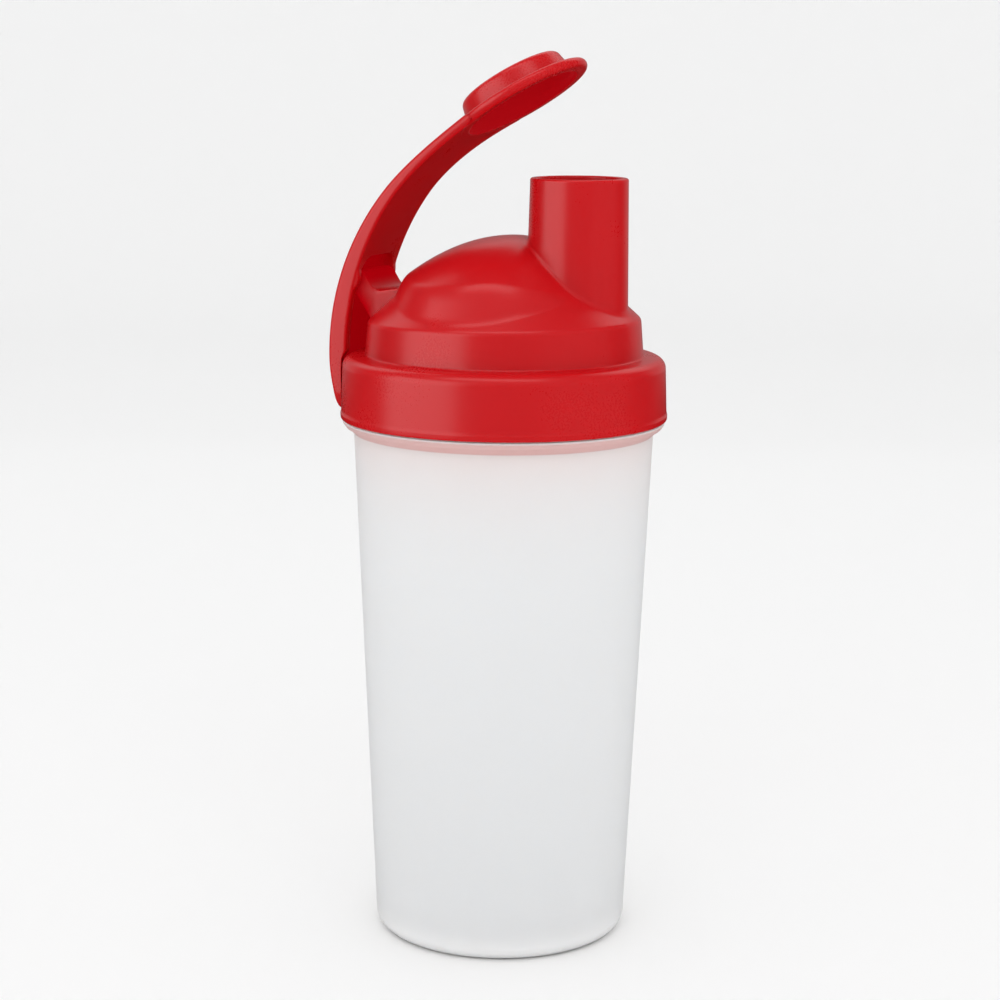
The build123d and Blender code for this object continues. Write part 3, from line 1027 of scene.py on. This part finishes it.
@dataclass
class FlipCap:
    """The flip cap: a turned cap with a tapered hollow, on an arched arm with a hinge recess inside it.

    Attributes:
        axes: Places fixed by the frame.
        tilt: Angle that the open flange makes with the level.
        engage: How far the shut cap comes down over the spout.
        flange_r: Radius of the flange.
        flange_t: Thickness of the flange.
        cup_h: Height of the shallow cup over the flange's underside.
        cup_base_r: Radius of the cup at its foot.
        cup_top_r: Radius of the cup at its top, before its edge is rounded.
        mouth_r: Radius of the hollow's mouth.
        hollow_r: Radius of the hollow's inner end.
        seal_r: Radius of the sealing disc.
        half: Half the arm's width.
        flare: How much wider the arm is where its sides meet the flange.
        flare_from: How far behind the flange's middle the sides meet it.
        flare_to: How far behind the flange's middle the sides are parallel.
        root_r: How far behind the flange's middle the arm starts, on its middle line.
        root_side: Half the width of the ellipse that the arm starts along.
        tip_r: Radius of the tail's rounded tip.
        recess_half: Half the hinge recess's width.
        recess_top: Height of the recess's upper edge.
        recess_low: Height of its lower edge.
        recess_corner: Radius of its corners.
        skin_t: Thickness left behind the recess.
        collar_clear_r: Radius that the arm keeps clear of beside the collar.
        columns: Points around each ring of the cap.
    """

    axes: Axes
    tilt: float = math.radians(31.5)
    engage: float = 0.0059
    flange_r: float = 0.0219
    flange_t: float = 0.0030
    cup_h: float = 0.00875
    cup_base_r: float = 0.01715
    cup_top_r: float = 0.01585
    mouth_r: float = 0.0180
    hollow_r: float = 0.0146
    seal_r: float = 0.0145
    half: float = 0.0140
    flare: float = 0.0064
    flare_from: float = 0.0080
    flare_to: float = 0.0450
    root_r: float = 0.0197
    root_side: float = 0.0223
    tip_r: float = 0.0050
    recess_half: float = 0.0110
    recess_top: float = 0.2054
    recess_low: float = 0.1710
    recess_corner: float = 0.0050
    skin_t: float = 0.0013
    collar_clear_r: float = 0.0494
    columns: int = 288

    def flange(self) -> Place:
        """Return the flange's underside as a frame."""
        x, z = self.axes.opened(self.axes.spout_x, self.axes.spout_top - self.engage)
        return Place(x, z, self.tilt)

    def seat(self) -> Place:
        """Return the frame of the spout's lip, carried along as the cap opens."""
        x, z = self.axes.opened(self.axes.spout_x, self.axes.spout_top)
        return Place(x, z, self.axes.swing)

    def build_cap(self, material: bpy.types.Material) -> bpy.types.Object:
        """Build the turned cap: shallow cup, round-rimmed flange, mouth, and hollow in the seat's frame."""
        mm = 0.001
        outside = rounded_path(
            [
                (0.0, self.cup_h, 0),
                (self.cup_top_r, self.cup_h, 1.9 * mm),
                (self.cup_base_r, self.flange_t, 0.5 * mm),
                (self.flange_r, self.flange_t, 1.45 * mm),
                (self.flange_r, 0.0, 1.45 * mm),
                (self.mouth_r, 0.0, 0.7 * mm),
                (self.mouth_r - 0.5 * mm, 0.9 * mm, 0),
            ],
            gap=0.0015,
            steps=12,
        )
        hollow = rounded_path(
            [(16.3 * mm, -3.3 * mm, 0), (self.hollow_r, 0.8 * mm, 0.8 * mm), (0.0, 0.8 * mm, 0)], gap=0.0015
        )
        cap, inner = self.flange().turned(outside, self.columns), self.seat().turned(hollow, self.columns)
        grid = np.concatenate([cap, inner])
        piece = skin("flip_cap_shell", grid, ring=False, poles=(True, True))
        # Painted shade: the mouth's inner rows and the whole hollow get the darker hollow colour and a faint glow.
        rows = np.repeat(np.arange(1, len(grid) - 1) > len(outside) - 9, self.columns)
        shade_sunk(piece, np.concatenate([[0.0], 0.85 * rows, [1.0]]))
        dress(piece, material)
        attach(piece, "flip_cap")
        return piece

    def arm_lines(self) -> tuple[Grid, Grid]:
        """Return the arm's inner and outer lines in X and Z, from the flange down to the tail's tip.

        Each is a Bezier curve from the flange to the collar and a second, short one down the tail. Rows lie
        closer together along the recess and at its upper edge.
        """
        mm = 0.001
        place = self.flange()
        c, s = math.cos(self.tilt), math.sin(self.tilt)
        along, up, lift = np.array([c, s]), np.array([-s, c]), np.array([0, 1.0])
        low = np.array([place.x, place.z]) - self.root_r * along + 0.03 * mm * up
        high = low + (self.flange_t - 0.06 * mm) * up
        arch = np.linspace(0, 1, 110)
        inner_knee, outer_knee = np.array([-45.9, 176.0]) * mm, np.array([-51.85, 176.0]) * mm
        inner_ends = [low, low - 27.0 * mm * along, inner_knee + 25.2 * mm * lift, inner_knee]
        outer_ends = [high, high - 27.4 * mm * along, outer_knee + 28.2 * mm * lift, outer_knee]
        heights = bezier(inner_ends, arch)[:, 1]
        at_edge = np.linspace(self.recess_top - mm, self.recess_top + mm, 21)
        wanted = np.concatenate([at_edge, np.arange(0.178, 0.204, 0.0005)])
        arch = np.unique(np.concatenate([arch, np.interp(-wanted, -heights, arch)]))
        tail = np.concatenate([np.linspace(0, 0.75, 14)[1:], 1 - 0.25 * np.linspace(1, 0, 14)[1:] ** 2])
        inner_tip, outer_tip = np.array([-46.6, 159.7]) * mm, np.array([-49.6, 158.9]) * mm
        drop, rise = 8 * mm * lift, 4.5 * mm * lift
        inner_tail = bezier([inner_knee, inner_knee - drop, inner_tip + rise, inner_tip], tail)
        outer_tail = bezier([outer_knee, outer_knee - drop, outer_tip + rise, outer_tip], tail)
        inner = np.concatenate([bezier(inner_ends, arch), inner_tail])
        outer = np.concatenate([bezier(outer_ends, arch), outer_tail])
        return inner, outer

    def build_arm(self, material: bpy.types.Material) -> bpy.types.Object:
        """Build the arm by carrying a rounded section along its two lines.

        A point of the section is given by y and by h, the distance from the inner line towards the outer one.
        The half width flares into the flange and rounds off at the tail's tip.
        """
        mm = 0.001
        inner, outer = self.arm_lines()
        thick = np.linalg.norm(outer - inner, axis=1)[:, None]
        out = (outer - inner) / thick
        down = np.concatenate([[0.0], np.cumsum(np.linalg.norm(np.diff(inner, axis=0), axis=1))])[:, None]
        left = down[-1] - down
        near_tip = 1 - np.clip(left / self.tip_r, 0, 1)
        wide = self.width(down)
        wide = wide - self.tip_r * (1 - np.sqrt(np.clip(1 - near_tip**2, 0, 1)))
        y, share = self.section(wide, thick)
        h = share * thick
        z_line = inner[:, 1:2]
        facing = ease(-share, -0.02, 0.0)
        sunk = facing * self.recess(y, z_line)
        h = h + sunk * (thick - self.skin_t) - facing * self.boss(y, inner)
        x, z = inner[:, :1] + out[:, :1] * h, z_line + out[:, 1:2] * h
        wrap = self.wrap(y, down)
        x, z = x + wrap * math.cos(self.tilt), z + wrap * math.sin(self.tilt)
        collar = -np.sqrt(self.collar_clear_r**2 - y**2)
        beside = 1 - ease(z, 174.0 * mm, 177.6 * mm)
        x = np.where(x > collar, x + (collar - x) * beside, x)
        grid = np.stack([x, y, z], -1)
        seam = (grid[:1] + grid[:1, self.partner(grid.shape[1])]) / 2
        tip = np.broadcast_to(grid[-1].mean(0), grid[-1].shape)[None]
        piece = skin("flip_cap_arm", np.concatenate([seam, grid, tip]), ring=False, poles=(False, True))
        # The recess's depth share also paints shade: the finish gives the recess the darker hollow colour and a
        # faint glow.
        shade_sunk(piece, np.concatenate([0 * y[0], sunk.ravel(), [0.0]]))
        merge(piece)
        dress(piece, material)
        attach(piece, "flip_cap")
        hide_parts("flip_cap")
        return piece

    @staticmethod
    def partner(columns: int) -> Grid:
        """Return for each column of the section the one that lies across the arm's thickness from it."""
        return (columns // 2 - np.arange(columns)) % columns

    def wrap(self, y: Grid, down: Grid) -> Grid:
        """Return how far a point is drawn towards the flange's middle, as the arm starts along an ellipse.

        At the root it is r (1 - sqrt(1 - (y/s)^2)), and it fades out where the sides become parallel.

        Args:
            y: Places across the arm.
            down: Lengths along the arm from its root.

        Returns:
            Distances along the flange.
        """
        bow = self.root_r * (1 - np.sqrt(np.clip(1 - (y / self.root_side) ** 2, 0, 1)))
        return bow * (1 - ease(down, 0.0, self.flare_to - self.root_r))

    def width(self, down: Grid) -> Grid:
        """Return the arm's half width, whose edge lies on a curve that touches the flange's circle.

        At a distance u behind the flange's middle it is half + flare ((to - u) / (to - from))^2.2. The wrap
        moves the edge along u by an amount that depends on the width itself, so they are found by repetition.
        """
        wide = np.full_like(down, self.half)
        for _ in range(12):
            behind = self.root_r + down - self.wrap(wide, down)
            share = np.clip((self.flare_to - behind) / (self.flare_to - self.flare_from), 0, 1)
            wide = 0.5 * wide + 0.5 * (self.half + self.flare * share**2.2)
        return wide

    def recess(self, y: Grid, z: Grid) -> Grid:
        """Return how far the hinge recess is sunk, from 0 to 1.

        It is a smooth step of the distance inside a rectangle with rounded corners.

        Args:
            y: Places across the arm.
            z: Heights.

        Returns:
            Shares of the recess's full depth.
        """
        middle, tall = (self.recess_top + self.recess_low) / 2, (self.recess_top - self.recess_low) / 2
        over_y = np.abs(y) - self.recess_half + self.recess_corner
        over_z = np.abs(z - middle) - tall + self.recess_corner
        beyond = np.hypot(np.maximum(over_y, 0), np.maximum(over_z, 0))
        inside = self.recess_corner - beyond - np.minimum(np.maximum(over_y, over_z), 0)
        return ease(inside, 0.0, 0.0006)

    def boss(self, y: Grid, line: Grid) -> Grid:
        """Return how far the trunnion sockets swell out of the inner face: a hill round the hinge line."""
        away = np.hypot(line[:, :1] - self.axes.hinge[0], line[:, 1:2] - self.axes.hinge[1])
        off = np.abs(y)
        on_rim = ease(off, self.recess_half, self.recess_half + 0.0006) * (1 - ease(off, 0.0130, 0.0140))
        return 0.0009 * (1 - ease(away, 0.0010, 0.0042)) * on_rim

    def section(self, wide: Grid, thick: Grid) -> tuple[Grid, Grid]:
        """Return the arm's section in every row as a closed loop with rounded edges.

        Args:
            wide: Half width of each row.
            thick: Thickness of each row.

        Returns:
            Arrays of y and of h as a share of the thickness, one row each.
        """
        outer_r = np.minimum(0.00145, 0.485 * thick)
        rows = np.arange(len(thick))[:, None]
        inner_r = outer_r + (np.minimum(0.0008, 0.25 * thick) - outer_r) * ease(rows, 0, 40)
        turn = np.linspace(0, math.pi / 2, 9)[None]
        across = np.linspace(0, 1, 72)[None, :-1]
        back = np.linspace(1, 0, 72)[None, 1:-1]
        wall = np.linspace(0, 1, 5)[None, 1:-1]
        y_parts = [
            across * (wide - outer_r),
            wide - outer_r + outer_r * np.sin(turn),
            wide + 0 * wall,
            wide - inner_r + inner_r * np.cos(turn),
            back * (wide - inner_r),
        ]
        h_parts = [
            1 + 0 * across * thick,
            1 - outer_r / thick * (1 - np.cos(turn)),
            1 - outer_r / thick + (inner_r / thick + outer_r / thick - 1) * wall,
            inner_r / thick * (1 - np.sin(turn)),
            0 * back * thick,
        ]
        y, h = np.concatenate(y_parts, 1), np.concatenate(h_parts, 1)
        middle = np.zeros_like(wide)
        return np.concatenate([y, middle, -y[:, :0:-1]], 1), np.concatenate([h, middle, h[:, :0:-1]], 1)

    def build_seal(self, material: bpy.types.Material) -> bpy.types.Object:
        """Build the sealing disc with its raised bead, in the seat's frame."""
        mm = 0.001
        outline = rounded_path(
            [
                (0.0, 0.78 * mm, 0),
                (self.seal_r, 0.78 * mm, 0.15 * mm),
                (self.seal_r, 0.3 * mm, 0.15 * mm),
                (self.seal_r - 0.3 * mm, 0.12 * mm, 0.2 * mm),
                (12.8 * mm, 0.12 * mm, 0.2 * mm),
                (12.3 * mm, 0.35 * mm, 0.2 * mm),
                (0.0, 0.35 * mm, 0),
            ],
            gap=0.002,
        )
        piece = skin("spout_seal_disc", self.seat().turned(outline, 128), ring=False, poles=(True, True))
        dress(piece, material)
        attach(piece, "flip_cap")
        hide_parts("spout_seal")
        return piece


# ---------------------------------------------------------------- inserts


@dataclass
class Inserts:
    """The pieces inside the lid: the sealing ring is rebuilt here, and the strainer keeps its imported shape."""

    axes: Axes

    def build_gasket(self, material: bpy.types.Material) -> bpy.types.Object:
        """Build the sealing ring, with a lip that presses on the cup's rim."""
        mm = 0.001
        low, high = (v.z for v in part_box("lid_gasket"))
        inner, outer = 41.3 * mm, 44.5 * mm
        outline = rounded_path(
            [
                (inner + mm, high, 0),
                (outer, high, 0.4 * mm),
                (outer, low + 0.3 * mm, 0.5 * mm),
                (43.2 * mm, low + 0.3 * mm, 0.3 * mm),
                (42.8 * mm, low, 0.3 * mm),
                (inner, low, 0.4 * mm),
                (inner, high, 0.4 * mm),
                (inner + mm, high, 0),
            ],
            gap=0.001,
        )[:-1]
        piece = skin("lid_gasket_ring", Place().turned(outline, 192), ring=True)
        dress(piece, material)
        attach(piece, "lid")
        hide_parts("lid_gasket")
        return piece


# ---------------------------------------------------------------- studio


class Panel(Enum):
    """The studio's soft panels: turn from the camera, height, distance, width, tallness, brightness."""

    LEFT = (-61.0, 0.36, 0.95, 1.05, 0.95, 1.6)
    RIGHT = (62.0, 0.40, 1.00, 1.30, 0.95, 0.12)
    FRONT = (-14.0, 1.25, 0.40, 1.10, 0.45, 1.5)
    BACK = (180.0, 0.34, 0.90, 2.60, 0.60, 0.3)
    HIGH = (180.0, 1.15, 1.00, 2.40, 0.80, 0.8)
    FILL = (0.0, 1.05, 1.20, 1.60, 0.90, 0.60)

    def build(self, camera_turn: float) -> bpy.types.Object:
        """Build the panel facing the bottle: the fill only lights, the others are only seen in the gloss."""
        turn, height, distance, width, tall, bright = self.value
        angle = camera_turn + math.radians(turn)
        data = bpy.data.lights.new(self.name.lower(), "AREA")
        data.shape, data.size, data.size_y = "RECTANGLE", width, tall
        data.energy = bright * math.pi * width * tall
        light = bpy.data.objects.new(self.name.lower(), data)
        where = Vector((distance * math.sin(angle), -distance * math.cos(angle), height))
        aim = Vector((0, 0, 0.2)) - where
        light.matrix_world = Matrix.Translation(where) @ aim.to_track_quat("-Z", "Y").to_matrix().to_4x4()
        fills = self is Panel.FILL
        light.visible_camera, light.visible_transmission = False, False
        light.visible_diffuse, light.visible_glossy = fills, not fills
        return light


@dataclass
class Studio:
    """The pale sweep, the soft light and the camera.

    Attributes:
        azimuth: Where the camera stands round the bottle, from -Y towards +X.
        heading: Which way it looks, in the same sense.
        distance: Level distance from the bottle's axis.
        height: Camera height.
        pitch: How far it looks down.
        roll: How far it is turned about its own axis.
        lens: Focal length on a 36 mm sensor, in millimetres.
        daylight: Brightness of the even surround.
    """

    azimuth: float = math.radians(22.0)
    heading: float = math.radians(22.076)
    distance: float = 0.6999
    height: float = 0.2642
    pitch: float = math.radians(10.643)
    roll: float = math.radians(0.4485)
    lens: float = 84.75
    daylight: float = 1.1

    def build_camera(self) -> None:
        """Build the camera from its place, heading, pitch and roll."""
        cp, sp = math.cos(self.pitch), math.sin(self.pitch)
        side = Vector((math.cos(self.heading), math.sin(self.heading), 0))
        ahead = Vector((-math.sin(self.heading) * cp, math.cos(self.heading) * cp, -sp))
        up = side.cross(ahead)
        cr, sr = math.cos(self.roll), math.sin(self.roll)
        right = side * cr + up * sr
        top = up * cr - side * sr
        data = bpy.data.cameras.new("camera")
        data.lens, data.sensor_width = self.lens, 36.0
        data.clip_start, data.clip_end = 0.01, 50.0
        camera = bpy.data.objects.new("camera", data)
        level = self.distance
        where = Vector((level * math.sin(self.azimuth), -level * math.cos(self.azimuth), self.height))
        basis = Matrix((right, top, -ahead)).transposed().to_4x4()
        camera.matrix_world = Matrix.Translation(where) @ basis
        bpy.context.scene.collection.objects.link(camera)
        bpy.context.scene.camera = camera

    def build_floor(self, material: bpy.types.Material) -> None:
        """Build the floor as a round sweep: flat, then a quarter circle up into a low wall."""
        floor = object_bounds()[0].z
        outline = rounded_path(
            [(0.0, floor, 0), (4.6, floor, 3.0), (4.6, floor + 3.2, 0)], gap=0.3, steps=48
        )
        piece = skin("studio_floor", Place().turned(outline, 96), ring=False, poles=(True, False))
        dress(piece, material)
        piece.visible_glossy = False
        piece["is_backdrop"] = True

    def build_lights(self) -> None:
        """Build the panels and the even surround, and show colours as they are."""
        for panel in Panel:
            bpy.context.scene.collection.objects.link(panel.build(self.azimuth))
        world = bpy.data.worlds.new("surround")
        world.use_nodes = True
        world.node_tree.nodes["Background"].inputs["Color"].default_value = (1.0, 1.0, 1.0, 1.0)
        world.node_tree.nodes["Background"].inputs["Strength"].default_value = self.daylight
        world.cycles_visibility.glossy = False
        bpy.context.scene.world = world
        bpy.context.scene.view_settings.view_transform = "Standard"


def main() -> None:
    """Build every piece, dress it and report it."""
    logging.basicConfig(level=logging.INFO, format="%(name)s: %(message)s")
    axes = Axes.read()
    # The third red is the painted shade inside hollows.
    red_shades = (0.62, 0.0030, 0.0065), (0.595, 0.0024, 0.0058), (0.50, 0.0005, 0.0048)
    red = SatinPlastic("red_plastic", *red_shades).paint()
    shoulder = axes.collar_low - 0.0042
    # The second colour is painted red light on the wall under the lid, the third painted shade and red light on
    # the drip ring.
    white, painted_red_light, painted_ring_shade = (0.945, 0.945, 0.945), (0.91, 0.79, 0.77), (0.80, 0.47, 0.45)
    frosted = FrostedPlastic("frosted_plastic", white, painted_red_light, painted_ring_shade, shoulder).paint()
    natural = FrostedPlastic("natural_plastic", white, painted_red_light, white, axes.rim).paint()
    clear_seal = Silicone("clear_silicone", (0.70, 0.70, 0.70)).paint()
    # Painted shade: the red seal in the cap's hollow is given the same deep red as the hollows' painted shade.
    red_seal = Silicone("red_silicone", (0.50, 0.004, 0.008)).paint()
    cup = MixingCup(axes)
    lid = SpoutedLid(axes)
    cap = FlipCap(axes)
    inserts = Inserts(axes)
    jobs: list[tuple[Callable[..., bpy.types.Object], bpy.types.Material]] = [
        (cup.build, frosted),
        (lid.build, red),
        (lid.build_lug, red),
        (lid.build_trunnions, red),
        (cap.build_cap, red),
        (cap.build_arm, red),
        (cap.build_seal, red_seal),
        (inserts.build_gasket, clear_seal),
    ]
    for build, material in jobs:
        piece = build(material)
        LOG.info("%s: %d faces", piece.name, len(piece.data.polygons))
    dress(frame["nodes"]["strainer"], natural)
    studio = Studio()
    studio.build_camera()
    studio.build_floor(StudioSweep().paint())
    studio.build_lights()


if __name__ == "__main__":
    main()
